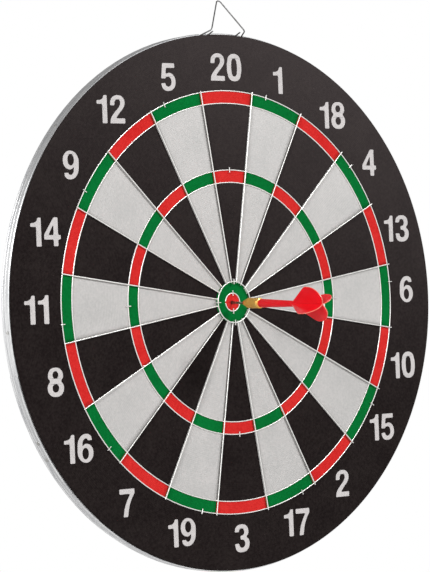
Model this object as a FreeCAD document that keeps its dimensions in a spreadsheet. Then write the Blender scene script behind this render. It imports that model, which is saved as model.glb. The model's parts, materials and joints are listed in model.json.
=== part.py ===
"""Family dartboard: a wound paper disc in a steel band, a wire spider, a wall hanger and a steel-point dart.

Frame: millimetres, +Z up, +X to the right of a player, the playing face looks along -Y.
The origin is the centre of the rear face, so the playing face is at Y = -board_thickness.
Clock angles are degrees clockwise from the top, as the player sees the board.
"""
import FreeCAD, Part
import math
import os

import Sketcher

DIMENSIONS = {
    # the board
    "board_thickness": 12.7,
    "board_radius": 216.6,
    "facing_thickness": 0.5,
    "facing_edge": 1.2,
    "skirt_depth": 3.6,
    "rear_sheet_thickness": 0.4,
    # the rim band, a beaded strip lapped over its own start
    "band_front": 2.4,
    "band_thickness": 0.5,
    "band_lap_gap": 0.03,
    "front_bead_start": 2.9,
    "front_bead_width": 2.2,
    "front_bead_height": 0.6,
    "ridge_start": 7.7,
    "ridge_width": 1.8,
    "ridge_height": 0.35,
    "rear_bead_start": 10.9,
    "rear_bead_width": 1.6,
    "rear_bead_height": 0.5,
    "band_jog_clock": 215.0,
    "band_start_clock": 220.4,
    "band_end_clock": 256.7,
    "rivet_clock": 240.0,
    "rivet_step": 4.0,
    "rivet_depth": 6.4,
    "rivet_head_radius": 1.6,
    "rivet_head_height": 0.7,
    "rivet_shank_radius": 0.8,
    "rivet_shank_length": 4.0,
    "tack_clock": 85.6,
    "tack_step": 45.0,
    "tack_head_radius": 1.3,
    "tack_head_height": 0.5,
    "tack_shank_radius": 0.6,
    "tack_shank_length": 8.0,
    # the wire spider
    "wire_radius": 0.5,
    "double_outer_radius": 171.0,
    "double_inner_radius": 160.8,
    "treble_outer_radius": 106.9,
    "treble_inner_radius": 96.8,
    "outer_bull_radius": 16.6,
    "inner_bull_radius": 7.3,
    "bull_shift": 1.4,
    "radial_start": 15.6,
    "radial_end": 172.3,
    "sectors": 20,
    "staple_radius": 0.4,
    "staple_half_width": 1.8,
    "staple_leg": 6.0,
    "double_staple_clock": 14.0,
    # the wall hanger
    "hanger_wire_radius": 0.55,
    "hinge_depth": 4.8,
    "hinge_height": 214.95,
    "hanger_lean": 69.9,
    "hook_inner": 14.2,
    "hook_outer": 21.8,
    "hook_free_length": 9.6,
    "hook_arm_length": 12.3,
    "hanger_corner": 17.2,
    "hanger_apex_depth": 5.9,
    "hanger_apex_height": 246.5,
    "hook_bend": 1.5,
    "hanger_corner_bend": 2.0,
    "hanger_apex_bend": 2.5,
    "pocket_front": 0.4,
    "pocket_rear": 7.6,
    "pocket_inner": 12.9,
    "pocket_outer": 23.2,
    "pocket_floor": 213.6,
    "pocket_height": 6.0,
    "notch_inner_start": 13.1,
    "notch_inner_end": 15.3,
    "notch_outer_start": 19.2,
    "notch_outer_end": 22.7,
    # the dart, measured along its own axis from the playing face
    "dart_droop": 1.9,
    "dart_drop": 0.5,
    "needle_radius": 1.0,
    "needle_tip": -9.0,
    "needle_shoulder": -6.0,
    "needle_end": 27.0,
    "needle_clearance": 0.06,
    "needle_tip_clearance": 0.24,
    "hole_overrun": 2.0,
    "barrel_start": 15.3,
    "barrel_shoulder": 21.5,
    "barrel_end": 35.9,
    "barrel_nose_radius": 1.9,
    "barrel_radius": 4.2,
    "groove_start": 24.5,
    "groove_pitch": 3.0,
    "groove_wall": 0.4,
    "groove_depth": 0.35,
    "spigot_start": 29.5,
    "spigot_radius": 2.0,
    "stem_radius": 3.55,
    "stem_tail_radius": 2.45,
    "stem_edge": 0.6,
    "flight_start": 75.4,
    "flight_end": 111.4,
    "flight_core_taper": 4.0,
    "flight_core_end": 109.0,
    "flight_core_radius": 1.2,
    "vane_thickness": 0.8,
    "vane_clock": 28.0,
    "vane_root": 1.4,
    "vane_shoulder": 95.5,
    "vane_shoulder_radius": 14.5,
    "vane_crown": 101.0,
    "vane_crown_radius": 15.3,
    "vane_rear": 113.1,
    "vane_rear_radius": 6.5,
    "vane_tail_radius": 1.1,
    "vane_tip_bend": 8.0,
    "vane_rear_bend": 12.0,
    "vane_tail_bend": 8.0,
}

doc = FreeCAD.newDocument("dartboard")
sheet = doc.addObject("Spreadsheet::Sheet", "dims")
for line, (alias, number) in enumerate(DIMENSIONS.items(), start=1):
    sheet.set(f"A{line}", alias)
    sheet.set(f"B{line}", str(number))
    sheet.setAlias(f"B{line}", alias)
sums = doc.addObject("Spreadsheet::Sheet", "sums")
doc.recompute()

NODES = []
FRONT = "-dims.board_thickness"


def size(expression):
    """The value of an expression of the sheet's cells, worked out in a spare cell."""
    sums.set("A1", f"={expression}")
    sums.recompute()
    return float(sums.get("A1"))


def node(thing, label):
    """Names a finished sub-part, which is then written to a file of that name."""
    thing.Label = label
    NODES.append(thing)
    return thing


def clock_turn(clock):
    """The turn about Y that brings a piece at three o'clock to a clock angle."""
    return FreeCAD.Rotation(FreeCAD.Vector(0, 1, 0), clock - 90)


# ---------------------------------------------------------------- sketches and features

def new_body(name):
    return doc.addObject("PartDesign::Body", name)


def origin_part(body, role):
    return next(part for part in body.Origin.OriginFeatures if part.Role == role)


def new_sketch(body, name, plane="XY_Plane", turn=None):
    sketch = body.newObject("Sketcher::SketchObject", name)
    sketch.AttachmentSupport = (origin_part(body, plane), [""])
    sketch.MapMode = "FlatFace"
    if turn:
        sketch.AttachmentOffset = FreeCAD.Placement(FreeCAD.Vector(), turn)
    return sketch


def bind(sketch, kind, where, expression):
    """Adds one constraint and ties its value to an expression."""
    index = sketch.addConstraint(Sketcher.Constraint(kind, *where, size(expression)))
    sketch.setExpression(f"Constraints[{index}]", str(expression))


def arc_middle(start, end, radius):
    """The middle of a short arc; it bulges to the left of travel when radius is positive."""
    chord = end - start
    sagitta = abs(radius) - math.sqrt(radius ** 2 - (chord.Length / 2) ** 2)
    left = FreeCAD.Vector(-chord.y, chord.x, 0).normalize()
    return (start + end) * 0.5 + left * math.copysign(sagitta, radius)


def outline(sketch, corners, closed=True):
    """Draws a line through corners (x, y) given as expressions.

    A corner with a third item leads on to the next corner by an arc of that radius.
    """
    points = [FreeCAD.Vector(size(corner[0]), size(corner[1]), 0) for corner in corners]
    count = len(corners) if closed else len(corners) - 1
    ends = []
    for index in range(count):
        start = points[index]
        end = points[(index + 1) % len(points)]
        if len(corners[index]) == 3:
            radius = size(corners[index][2])
            edge = sketch.addGeometry(Part.Arc(start, arc_middle(start, end, radius), end), False)
            bind(sketch, "Radius", (edge,), f"abs({corners[index][2]})")
            first, last = (2, 1) if radius > 0 else (1, 2)
        else:
            edge = sketch.addGeometry(Part.LineSegment(start, end), False)
            first, last = 1, 2
        ends.append((edge, first, last))
        bind(sketch, "DistanceX", (edge, first), corners[index][0])
        bind(sketch, "DistanceY", (edge, first), corners[index][1])
    for (edge, _, last), (following, first, _) in zip(ends, ends[1:]):
        sketch.addConstraint(Sketcher.Constraint("Coincident", edge, last, following, first))
    if closed:
        (edge, _, last), (following, first, _) = ends[-1], ends[0]
        sketch.addConstraint(Sketcher.Constraint("Coincident", edge, last, following, first))
    else:
        bind(sketch, "DistanceX", (ends[-1][0], ends[-1][2]), corners[-1][0])
        bind(sketch, "DistanceY", (ends[-1][0], ends[-1][2]), corners[-1][1])
    return sketch


def revolve(body, sketch, axis="V_Axis", angle="360"):
    feature = body.newObject("PartDesign::Revolution", sketch.Name + "_turned")
    feature.Profile = (sketch, [""])
    feature.ReferenceAxis = (sketch, [axis])
    feature.setExpression("Angle", angle)
    doc.recompute()
    return feature


def turned_body(name, corners, axis="V_Axis"):
    body = new_body(name)
    revolve(body, outline(new_sketch(body, name + "_section"), corners), axis)
    return body


def polar(body, feature, axis, count):
    pattern = body.newObject("PartDesign::PolarPattern", feature.Name + "_round")
    pattern.Originals = [feature]
    pattern.Axis = (origin_part(body, axis), [""])
    pattern.Angle = 360
    pattern.Occurrences = count
    body.Tip = pattern
    doc.recompute()


def block(name, low, high):
    """A box between two corners given as expressions."""
    box = doc.addObject("Part::Box", name)
    for side, place, start, end in zip(("Length", "Width", "Height"), "xyz", low, high):
        box.setExpression(side, f"({end}) - ({start})")
        box.setExpression(f"Placement.Base.{place}", start)
    return box


def rod(name, radius, length):
    cylinder = doc.addObject("Part::Cylinder", name)
    cylinder.setExpression("Radius", radius)
    cylinder.setExpression("Height", length)
    return cylinder


def fused(name, pieces):
    whole = doc.addObject("Part::MultiFuse", name)
    whole.Shapes = pieces
    return whole


def cut(name, base, tool):
    result = doc.addObject("Part::Cut", name)
    result.Base = base
    result.Tool = tool
    return result


# ---------------------------------------------------------------- tools that cut clearance

DROOP = math.radians(size("dims.dart_droop"))
DART_TURN = FreeCAD.Rotation(
    FreeCAD.Vector(0, -math.cos(DROOP), -math.sin(DROOP)), FreeCAD.Vector(1, 0, 0), FreeCAD.Vector(), "XYZ"
)
DART_ENTRY = FreeCAD.Vector(size("-dims.bull_shift"), size(FRONT), size("-dims.dart_drop"))
DART_PLACE = FreeCAD.Placement(DART_ENTRY, DART_TURN)


def needle_hole():
    """The hole that the dart's point has made in the paper, a little wider than the needle."""
    wall = "dims.needle_radius + dims.needle_clearance"
    corners = [
        ("dims.needle_tip - dims.needle_tip_clearance", "0"),
        ("dims.needle_shoulder", wall),
        ("dims.hole_overrun", wall),
        ("dims.hole_overrun", "0"),
    ]
    body = turned_body("needle_hole", corners, "H_Axis")
    body.Placement = DART_PLACE
    return body


def mirrored_blocks(name, start, end):
    """A cut from the hinge's front to its rear between two X values, and its mirror image."""
    front = f"{FRONT} + dims.pocket_front"
    rear = f"{FRONT} + dims.pocket_rear"
    top = "dims.pocket_floor + dims.pocket_height"
    right = block(name + "_right", (start, front, "dims.pocket_floor"), (end, rear, top))
    left = block(name + "_left", (f"-({end})", front, "dims.pocket_floor"), (f"-({start})", rear, top))
    return [right, left]


HOLE = needle_hole()
POCKETS = mirrored_blocks("hook_pocket", "dims.pocket_inner", "dims.pocket_outer")
NOTCHES = fused(
    "band_notches",
    mirrored_blocks("inner_notch", "dims.notch_inner_start", "dims.notch_inner_end")
    + mirrored_blocks("outer_notch", "dims.notch_outer_start", "dims.notch_outer_end"),
)
BOARD_CUTS = fused("board_cuts", [HOLE] + POCKETS)


# ---------------------------------------------------------------- the board

def make_front_facing():
    """The flocked sheet that covers the playing face and folds back over the edge."""
    rim = "dims.board_radius"
    edge = "dims.facing_edge"
    sheet_thickness = "dims.facing_thickness"
    corners = [
        ("0", FRONT),
        (f"{rim} - {edge}", FRONT, f"-{edge}"),
        (rim, f"{FRONT} + {edge}"),
        (rim, f"{FRONT} + dims.skirt_depth"),
        (f"{rim} - {sheet_thickness}", f"{FRONT} + dims.skirt_depth"),
        (f"{rim} - {sheet_thickness}", f"{FRONT} + {edge}", f"{edge} - {sheet_thickness}"),
        (f"{rim} - {edge}", f"{FRONT} + {sheet_thickness}"),
        ("0", f"{FRONT} + {sheet_thickness}"),
    ]
    node(cut("facing_pierced", turned_body("facing_blank", corners), BOARD_CUTS), "front_facing")


def make_core():
    """The wound paper disc; it steps in at the front to take the facing's fold."""
    rim = "dims.board_radius"
    edge = "dims.facing_edge"
    step = "dims.board_radius - dims.facing_thickness"
    corners = [
        ("0", f"{FRONT} + dims.facing_thickness"),
        (f"{rim} - {edge}", f"{FRONT} + dims.facing_thickness", f"-({edge} - dims.facing_thickness)"),
        (step, f"{FRONT} + {edge}"),
        (step, f"{FRONT} + dims.skirt_depth"),
        (rim, f"{FRONT} + dims.skirt_depth"),
        (rim, "-dims.rear_sheet_thickness"),
        ("0", "-dims.rear_sheet_thickness"),
    ]
    node(cut("core_pierced", turned_body("core_blank", corners), BOARD_CUTS), "wound_paper_core")


def make_rear_facing():
    disc = rod("rear_sheet", "dims.board_radius", "dims.rear_sheet_thickness")
    disc.Placement = FreeCAD.Placement(FreeCAD.Vector(), FreeCAD.Rotation(FreeCAD.Vector(1, 0, 0), 90))
    node(disc, "rear_facing")


def band_section(body, name, clock, lift):
    """The strip's section at a clock angle: flats with two beads and a ridge, all one thickness."""
    def bead(word):
        chord = f"dims.{word}_width"
        height = f"dims.{word}_height"
        return f"({chord} * {chord} / 4 + {height} * {height}) / (2 * {height})"

    inner = f"dims.board_radius + {lift}"
    outer = f"{inner} + dims.band_thickness"
    outside = [(outer, f"{FRONT} + dims.band_front")]
    inside = [(inner, f"{FRONT} + dims.band_front")]
    for word in ("front_bead", "ridge", "rear_bead"):
        start = f"{FRONT} + dims.{word}_start"
        end = f"{start} + dims.{word}_width"
        outside += [(outer, start, f"-({bead(word)})"), (outer, end)]
        inside += [(inner, start), (inner, end, bead(word))]
    outside.append((outer, "0"))
    inside.append((inner, "0"))
    return outline(new_sketch(body, name, turn=clock_turn(clock)), outside + inside[::-1])


def make_rim_band():
    """One strip: it goes round the board, steps up over its own start and laps it."""
    body = new_body("band_strip")
    start = size("dims.band_start_clock")
    jog = size("dims.band_jog_clock")
    lap = "dims.band_thickness + dims.band_lap_gap"
    around = band_section(body, "band_start", start, "0")
    revolve(body, around, angle="360 - (dims.band_start_clock - dims.band_jog_clock)")
    steps = [
        band_section(body, "jog_foot", jog, "0"),
        band_section(body, "jog_middle", (jog + start) / 2, f"({lap}) / 2"),
        band_section(body, "jog_head", start, lap),
    ]
    ramp = body.newObject("PartDesign::AdditiveLoft", "jog")
    ramp.Profile = (steps[0], [""])
    ramp.Sections = [(steps[1], [""]), (steps[2], [""])]
    ramp.Ruled = True
    doc.recompute()
    over = band_section(body, "lap_start", start, lap)
    revolve(body, over, angle="dims.band_end_clock - dims.band_start_clock")
    node(cut("band_notched", body, NOTCHES), "rim_band")


def band_fastener(name, word, clock, foot):
    """A headed pin driven through the band towards the board's axis."""
    head = rod(f"{name}_head", f"dims.{word}_head_radius", f"dims.{word}_head_height")
    shank = rod(f"{name}_shank", f"dims.{word}_shank_radius", f"dims.{word}_shank_length")
    inward = FreeCAD.Vector(-math.sin(math.radians(clock)), 0, -math.cos(math.radians(clock)))
    turn = FreeCAD.Rotation(FreeCAD.Vector(0, 0, 1), inward)
    top = foot + size(f"dims.{word}_head_height")
    depth = FreeCAD.Vector(0, size(f"{FRONT} + dims.rivet_depth"), 0)
    head.Placement = FreeCAD.Placement(depth - inward * top, turn)
    shank.Placement = FreeCAD.Placement(depth - inward * foot, turn)
    return fused(name, [head, shank])


def make_band_fasteners():
    """Two rivets close the lap; tacks at an eighth of a turn hold the rest of the band."""
    surface = size("dims.board_radius + dims.band_thickness")
    raised = surface + size("dims.band_thickness + dims.band_lap_gap")
    rivet_clocks = [size(f"dims.rivet_clock + {side} * dims.rivet_step / 2") for side in (-1, 1)]
    rivets = [
        band_fastener(f"rivet_{index}", "rivet", clock, raised)
        for index, clock in enumerate(rivet_clocks, start=1)
    ]
    clear_of_lap = (-1, 0, 1, 2, 4, 5)
    tack_clocks = [size(f"dims.tack_clock + {turn} * dims.tack_step") for turn in clear_of_lap]
    tacks = [
        band_fastener(f"tack_{index}", "tack", clock, surface)
        for index, clock in enumerate(tack_clocks, start=1)
    ]
    for label, pieces in (("rim_band_rivets", rivets), ("rim_band_tacks", tacks)):
        group = doc.addObject("Part::Compound", label + "_group")
        group.Links = pieces
        node(group, label)


# ---------------------------------------------------------------- the wire spider

# The wires lie three deep: the rings on the face, the straight wires over them, and the outer bull ring
# over the ends of those. Each ring has its layer and the sideways shift of its centre.
STRAIGHT_LAYER = 1
RINGS = {
    "double_outer": (0, "0"),
    "double_inner": (0, "0"),
    "treble_outer": (0, "0"),
    "treble_inner": (0, "0"),
    "outer_bull": (2, "-dims.bull_shift"),
    "inner_bull": (0, "-dims.bull_shift"),
}


def layer_middle(layer):
    """The Y of the middle of a wire in a layer."""
    return f"{FRONT} - (2 * {layer} + 1) * dims.wire_radius"


def make_rings():
    for word, (layer, shift) in RINGS.items():
        ring = doc.addObject("Part::Torus", word + "_wire")
        ring.setExpression("Radius1", f"dims.{word}_radius")
        ring.setExpression("Radius2", "dims.wire_radius")
        ring.Placement.Rotation = FreeCAD.Rotation(FreeCAD.Vector(1, 0, 0), 90)
        ring.setExpression("Placement.Base.x", shift)
        ring.setExpression("Placement.Base.y", layer_middle(layer))
        node(ring, word + "_ring")


def make_radial_wires():
    """Straight wires, one on each line between two sectors; their inner ends follow the bull's rings."""
    lift = FreeCAD.Vector(0, size(layer_middle(STRAIGHT_LAYER)), 0)
    for index in range(int(size("dims.sectors"))):
        clock = math.radians(size(f"({index} + 0.5) * 360 / dims.sectors"))
        outward = FreeCAD.Vector(math.sin(clock), 0, math.cos(clock))
        start = f"dims.radial_start - dims.bull_shift * {math.sin(clock):.6f}"
        wire = rod(f"spoke_{index + 1:02d}", "dims.wire_radius", f"dims.radial_end - ({start})")
        turn = FreeCAD.Rotation(FreeCAD.Vector(0, 0, 1), outward)
        wire.Placement = FreeCAD.Placement(outward * size(start) + lift, turn)
        node(wire, f"radial_wire_{index + 1:02d}")


def make_staples(label, word, count, clock):
    """Staples that straddle a ring: each has a crown over the wire and two legs in the paper."""
    layer, shift = RINGS[word]
    body = new_body(label + "_wire")
    near = f"dims.{word}_radius - dims.staple_half_width"
    far = f"dims.{word}_radius + dims.staple_half_width"
    foot = f"{FRONT} + dims.staple_leg"
    crown = f"{layer_middle(layer)} - dims.wire_radius - dims.staple_radius"
    path = new_sketch(body, label + "_path")
    outline(path, [(near, foot), (near, crown), (far, crown), (far, foot)], closed=False)
    section = new_sketch(body, label + "_section", "XZ_Plane")
    section.setExpression("AttachmentOffset.Base.z", f"-({foot})")
    leg_foot = FreeCAD.Vector(size(near), 0, 0)
    round_wire = Part.Circle(leg_foot, FreeCAD.Vector(0, 0, 1), size("dims.staple_radius"))
    circle = section.addGeometry(round_wire, False)
    bind(section, "Radius", (circle,), "dims.staple_radius")
    bind(section, "DistanceX", (circle, 3), near)
    bind(section, "DistanceY", (circle, 3), "0")
    pipe = body.newObject("PartDesign::AdditivePipe", label + "_pipe")
    pipe.Profile = (section, [""])
    pipe.Spine = (path, [""])
    pipe.Transition = "Right corner"
    doc.recompute()
    polar(body, pipe, "Y_Axis", count)
    body.Placement = FreeCAD.Placement(FreeCAD.Vector(size(shift), 0, 0), clock_turn(clock))
    node(body, label)


# ---------------------------------------------------------------- the wall hanger

def rounded_path(corners, bends):
    """Straight runs joined by tangent arcs; bends holds the arc radius at each inner corner."""
    edges = []
    last = corners[0]
    for before, corner, after, radius in zip(corners, corners[1:], corners[2:], bends):
        back = (before - corner).normalize()
        ahead = (after - corner).normalize()
        half = back.getAngle(ahead) / 2
        reach = radius / math.tan(half)
        middle = (back + ahead).normalize() * (radius / math.sin(half) - radius)
        start = corner + back * reach
        edges.append(Part.LineSegment(last, start).toShape())
        edges.append(Part.Arc(start, corner + middle, corner + ahead * reach).toShape())
        last = corner + ahead * reach
    edges.append(Part.LineSegment(last, corners[-1]).toShape())
    return Part.Wire(edges)


def make_hanger():
    """A bent wire: a hook under the band on each side, two arms and a pointed loop."""
    lean = math.radians(size("dims.hanger_lean"))
    hinge = FreeCAD.Vector(0, size(f"{FRONT} + dims.hinge_depth"), size("dims.hinge_height"))
    up_the_hook = FreeCAD.Vector(0, -math.sin(lean), math.cos(lean))

    def at(side, distance, along):
        return hinge + FreeCAD.Vector(side * distance, 0, 0) + up_the_hook * along

    apex = FreeCAD.Vector(0, size(f"{FRONT} + dims.hanger_apex_depth"), size("dims.hanger_apex_height"))
    right = [
        at(1, size("dims.hook_inner"), size("dims.hook_free_length")),
        at(1, size("dims.hook_inner"), 0),
        at(1, size("dims.hook_outer"), 0),
        at(1, size("dims.hanger_corner"), size("dims.hook_arm_length")),
    ]
    left = [FreeCAD.Vector(-point.x, point.y, point.z) for point in reversed(right)]
    hook_bends = [size("dims.hook_bend")] * 2
    corner_bend = [size("dims.hanger_corner_bend")]
    bends = hook_bends + corner_bend + [size("dims.hanger_apex_bend")] + corner_bend + hook_bends
    path = rounded_path(right + [apex] + left, bends)
    radius = size("dims.hanger_wire_radius")
    section = Part.Wire([Part.makeCircle(radius, right[0], up_the_hook)])
    wire = doc.addObject("Part::Feature", "bent_wire")
    wire.Shape = path.makePipeShell([section], True, False)
    ratio = wire.Shape.Volume / (math.pi * radius ** 2 * path.Length)
    if not 0.99 < ratio < 1.01:
        raise RuntimeError(f"the hanger's wire is not a clean sweep: volume ratio {ratio:.3f}")
    node(wire, "hanger_wire")


# ---------------------------------------------------------------- the dart

def make_needle():
    corners = [
        ("dims.needle_tip", "0"),
        ("dims.needle_shoulder", "dims.needle_radius"),
        ("dims.needle_end", "dims.needle_radius"),
        ("dims.needle_end", "0"),
    ]
    body = turned_body("needle_rod", corners, "H_Axis")
    body.Placement = DART_PLACE
    node(body, "dart_needle")


def make_barrel():
    """The brass barrel: a tapered nose, grip grooves, a socket for the needle and one for the stem."""
    grip = "dims.barrel_radius"
    low = "dims.barrel_radius - dims.groove_depth"
    corners = [
        ("dims.barrel_start", "dims.needle_radius"),
        ("dims.barrel_start", "dims.barrel_nose_radius"),
        ("dims.barrel_shoulder", grip),
    ]
    for groove in range(3):
        start = f"dims.groove_start + {groove} * dims.groove_pitch"
        walls = [f"{start} + {step} * dims.groove_wall" for step in range(4)]
        corners += list(zip(walls, (grip, low, low, grip)))
    corners += [
        ("dims.barrel_end", grip),
        ("dims.barrel_end", "dims.spigot_radius"),
        ("dims.spigot_start", "dims.spigot_radius"),
        ("dims.spigot_start", "0"),
        ("dims.needle_end", "0"),
        ("dims.needle_end", "dims.needle_radius"),
    ]
    body = turned_body("barrel_turning", corners, "H_Axis")
    body.Placement = DART_PLACE
    node(body, "dart_barrel")


def make_stem_flight():
    """One moulding: a tapering stem with a spigot in the barrel, and four leaf-shaped vanes."""
    corners = [
        ("dims.spigot_start", "0"),
        ("dims.spigot_start", "dims.spigot_radius"),
        ("dims.barrel_end", "dims.spigot_radius"),
        ("dims.barrel_end", "dims.stem_radius - dims.stem_edge", "dims.stem_edge"),
        ("dims.barrel_end + dims.stem_edge", "dims.stem_radius"),
        ("dims.flight_start", "dims.stem_tail_radius"),
        ("dims.flight_start + dims.flight_core_taper", "dims.flight_core_radius"),
        ("dims.flight_core_end", "dims.flight_core_radius"),
        ("dims.flight_core_end", "0"),
    ]
    body = turned_body("stem_and_flight", corners, "H_Axis")
    leaf = [
        ("dims.flight_start", "0"),
        ("dims.flight_start", "dims.vane_root"),
        ("dims.vane_shoulder", "dims.vane_shoulder_radius", "dims.vane_tip_bend"),
        ("dims.vane_crown", "dims.vane_crown_radius", "dims.vane_rear_bend"),
        ("dims.vane_rear", "dims.vane_rear_radius", "dims.vane_tail_bend"),
        ("dims.flight_end", "dims.vane_tail_radius"),
        ("dims.flight_end", "0"),
    ]
    turn = FreeCAD.Rotation(FreeCAD.Vector(1, 0, 0), size("dims.vane_clock"))
    vane = body.newObject("PartDesign::Pad", "vane")
    vane.Profile = (outline(new_sketch(body, "vane_leaf", turn=turn), leaf), [""])
    vane.setExpression("Length", "dims.vane_thickness")
    vane.Midplane = True
    doc.recompute()
    polar(body, vane, "X_Axis", 4)
    body.Placement = DART_PLACE
    node(body, "dart_stem_flight")


# ---------------------------------------------------------------- build, check and write

make_core()
make_front_facing()
make_rear_facing()
make_rim_band()
make_band_fasteners()
make_rings()
make_radial_wires()
make_staples("double_ring_staples", "double_outer", 10, size("dims.double_staple_clock"))
make_staples("treble_ring_staples", "treble_outer", 4, 0)
make_staples("outer_bull_staples", "outer_bull", 4, 0)
make_staples("inner_bull_staples", "inner_bull", 2, 0)
make_hanger()
make_needle()
make_barrel()
make_stem_flight()
doc.recompute()

for thing in doc.Objects:
    if "Invalid" in thing.State or "Error" in thing.State:
        raise RuntimeError(f"{thing.Name} failed: {thing.State}")
for thing in NODES:
    if thing.Shape.isNull() or not thing.Shape.isValid():
        raise RuntimeError(f"{thing.Label} has no valid shape")

os.makedirs("parts", exist_ok=True)
for thing in NODES:
    thing.Shape.exportStep(f"parts/{thing.Label}.step")
    print(f"{thing.Label}: {len(thing.Shape.Solids)} solid(s), {thing.Shape.Volume:.1f} mm3")
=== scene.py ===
# %% [markdown]
# A family dartboard: wound paper with a flocked, printed face, a wire spider stapled over it, a thin
# steel band round the rim, a bent-wire hanger and one steel-point dart in the bull.
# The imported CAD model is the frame. This notebook finishes it: new pieces stand in for the nodes whose
# surface needs more than a machined shape, and every other node gets its own metal or paper.

# %% Load the frame
import json
import math
import random

import bmesh
import bpy
from mathutils import Matrix, Vector


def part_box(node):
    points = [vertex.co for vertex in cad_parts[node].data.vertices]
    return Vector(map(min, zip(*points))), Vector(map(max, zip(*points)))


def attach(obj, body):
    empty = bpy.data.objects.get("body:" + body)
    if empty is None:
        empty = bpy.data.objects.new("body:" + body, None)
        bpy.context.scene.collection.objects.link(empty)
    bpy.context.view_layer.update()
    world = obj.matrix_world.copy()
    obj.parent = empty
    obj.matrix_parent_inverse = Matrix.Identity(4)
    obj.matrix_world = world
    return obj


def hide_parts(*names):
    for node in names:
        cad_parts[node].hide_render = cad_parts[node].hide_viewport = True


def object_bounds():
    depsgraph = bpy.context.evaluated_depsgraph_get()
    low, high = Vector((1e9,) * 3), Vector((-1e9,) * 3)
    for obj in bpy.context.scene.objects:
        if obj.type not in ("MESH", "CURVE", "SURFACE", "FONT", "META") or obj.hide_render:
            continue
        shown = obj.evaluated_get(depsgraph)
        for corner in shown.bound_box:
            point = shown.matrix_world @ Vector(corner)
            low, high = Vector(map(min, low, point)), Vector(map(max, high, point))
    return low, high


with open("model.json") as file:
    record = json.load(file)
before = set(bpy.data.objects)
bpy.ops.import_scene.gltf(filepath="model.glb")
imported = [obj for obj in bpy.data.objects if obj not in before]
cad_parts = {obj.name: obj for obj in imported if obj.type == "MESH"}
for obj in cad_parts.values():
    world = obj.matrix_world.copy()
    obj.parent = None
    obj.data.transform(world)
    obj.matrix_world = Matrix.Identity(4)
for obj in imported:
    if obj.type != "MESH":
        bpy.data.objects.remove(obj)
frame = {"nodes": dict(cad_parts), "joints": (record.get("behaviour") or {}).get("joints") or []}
cad_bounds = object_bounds()
MM = 0.001
print("CAD box", [tuple(round(value, 4) for value in corner) for corner in cad_bounds])

# %% [markdown]
# Places and radii are read from the frame, so the finish always fits the parts. The few sizes that a box
# can't show, such as the sheet's thickness, repeat the part's own. The board's axis is Y and the playing
# face looks along -Y. Clock angles run clockwise from the top, as a player reads the board.

# %% Measure the frame
sheet_low, sheet_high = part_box("front_facing")
FACE = sheet_low.y
SKIRT_END = sheet_high.y
RIM = sheet_high.x
SHEET = 0.5 * MM
EDGE = 1.2 * MM
SECTORS = 20
SECTOR = math.tau / SECTORS


def ring_radius(name):
    """The radius of a ring's centre line, from its box: half its width less half its wire."""
    low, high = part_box(name)
    return (high.x - low.x) / 2 - (high.y - low.y) / 2


WIRE = (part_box("double_outer_ring")[1].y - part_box("double_outer_ring")[0].y) / 2
RINGS = {name: ring_radius(name + "_ring") for name in (
    "double_outer", "double_inner", "treble_outer", "treble_inner", "outer_bull", "inner_bull")}
BULL = (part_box("outer_bull_ring")[0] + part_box("outer_bull_ring")[1]) / 2
BULL.y = BULL.z = 0
print("rim radius", round(RIM, 4), "bull centre", round(BULL.x, 4))
print("rings", {name: round(value, 4) for name, value in RINGS.items()})

# %% Measure the dart's line
dart_joint = next(joint for joint in frame["joints"] if joint["name"] == "dart_pull")
DART_AXIS = Vector(dart_joint["axis"]).normalized()
DART_SIDE = Vector((1, 0, 0))
DART_ABOVE = DART_AXIS.cross(DART_SIDE)


def middle_along(node_name, direction):
    """Halfway between a node's two ends in one direction."""
    spots = [direction.dot(vertex.co) for vertex in frame["nodes"][node_name].data.vertices]
    return (min(spots) + max(spots)) / 2


on_line = DART_SIDE * middle_along("dart_needle", DART_SIDE)
on_line += DART_ABOVE * middle_along("dart_needle", DART_ABOVE)
DART_ENTRY = on_line + DART_AXIS * ((FACE - on_line.y) / DART_AXIS.y)
print("the point enters at", [round(value, 4) for value in DART_ENTRY])

# %% [markdown]
# A few helpers. A piece is modelled as a bmesh, written to a mesh at its true place, and left with its
# object at the origin, so that patterns on object coordinates stay where they belong.

# %% Helpers for pieces
MERGE = 0.001 * MM


def to_object(name, builder):
    """Writes a bmesh to a new object at the origin."""
    mesh = bpy.data.meshes.new(name)
    builder.to_mesh(mesh)
    builder.free()
    made = bpy.data.objects.new(name, mesh)
    bpy.context.scene.collection.objects.link(made)
    return made


def add_piece(name, builder, material, body="board", smooth=True):
    """Makes a piece of the dartboard, which rides on a body and takes the material it is given."""
    piece = to_object(name, builder)
    piece.data.materials.append(material)
    for polygon in piece.data.polygons:
        polygon.use_smooth = smooth
    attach(piece, body)
    print(name, len(piece.data.polygons), "faces")
    return piece


def chain(builder, points, closed=False):
    """Vertices joined by edges, for a spin or an extrusion."""
    verts = [builder.verts.new(point) for point in points]
    pairs = list(zip(verts, verts[1:]))
    if closed:
        pairs.append((verts[-1], verts[0]))
    edges = [builder.edges.new(pair) for pair in pairs]
    return verts + edges


def tidy_normals(builder):
    """Merges points that lie on each other, then turns every face outwards."""
    bmesh.ops.remove_doubles(builder, verts=builder.verts, dist=MERGE)
    bmesh.ops.recalc_face_normals(builder, faces=builder.faces)


def lathe(points, steps, axis=(0, 1, 0), closed=True):
    """Spins a section all the way round an axis."""
    builder = bmesh.new()
    geometry = chain(builder, points, closed)
    bmesh.ops.spin(builder, geom=geometry, cent=(0, 0, 0), axis=axis, angle=math.tau, steps=steps,
                   use_merge=True, use_duplicate=False)
    tidy_normals(builder)
    return builder


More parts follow.
